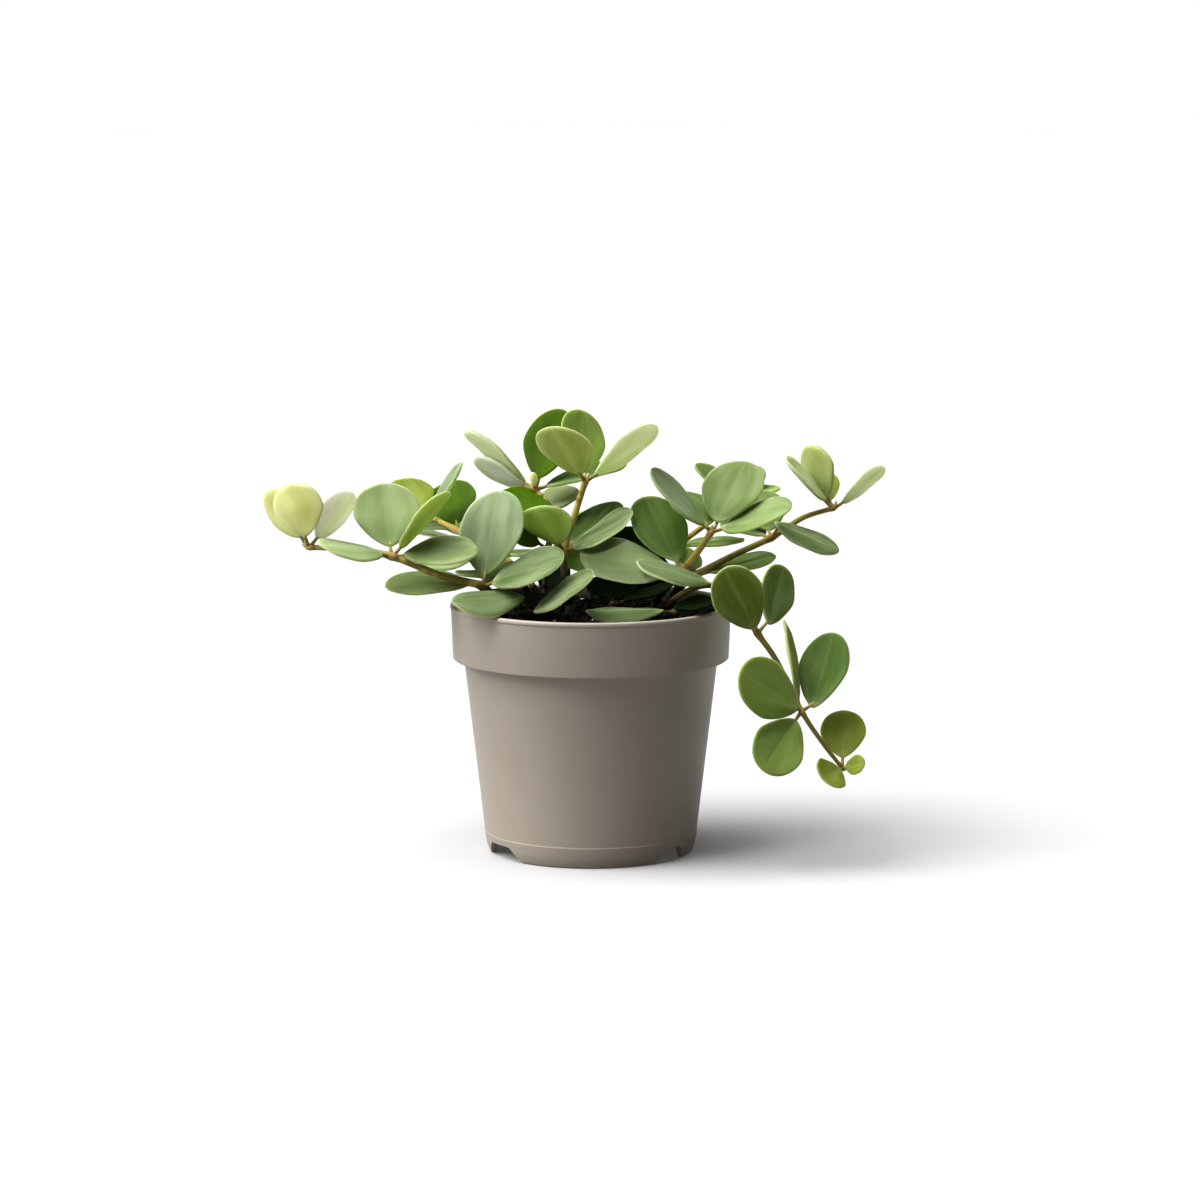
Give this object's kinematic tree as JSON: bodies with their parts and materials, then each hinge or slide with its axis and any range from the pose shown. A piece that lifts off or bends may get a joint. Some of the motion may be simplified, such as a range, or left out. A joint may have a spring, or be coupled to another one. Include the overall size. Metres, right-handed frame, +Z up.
{
  "type": "potted peperomia",
  "caption": "Small trailing peperomia with fleshy oval leaves in whorls on leaning stems, rooted in peat in a round tapered plastic nursery pot.",
  "frame": {"origin": "on the floor, on the pot's axis, at the centre of the pot's flat foot", "axes": "+Z up along the pot's axis, -Y towards the picture's camera, +X to the right in the picture, along the plant's widest spread"},
  "size_m": [0.2334, 0.1467, 0.1645],
  "materials": {
    "pot_plastic": "matt, finely textured, taupe",
    "peat": "rough, dark, crumbly",
    "leaf_and_stem": "satin, waxy, grey-green"
  },
  "bodies": {
    "root": {"pot": "pot_plastic", "soil": "peat", "shoot_left_long": "leaf_and_stem", "shoot_left_back": "leaf_and_stem", "shoot_centre_left": "leaf_and_stem", "shoot_centre_top": "leaf_and_stem", "shoot_right_centre": "leaf_and_stem", "shoot_right_long": "leaf_and_stem", "shoot_trailing": "leaf_and_stem", "shoot_front_right": "leaf_and_stem", "shoot_front_left": "leaf_and_stem", "shoot_front_centre": "leaf_and_stem", "shoot_back_left": "leaf_and_stem", "shoot_back_right": "leaf_and_stem", "shoot_back_centre": "leaf_and_stem"}
  },
  "joints": []
}
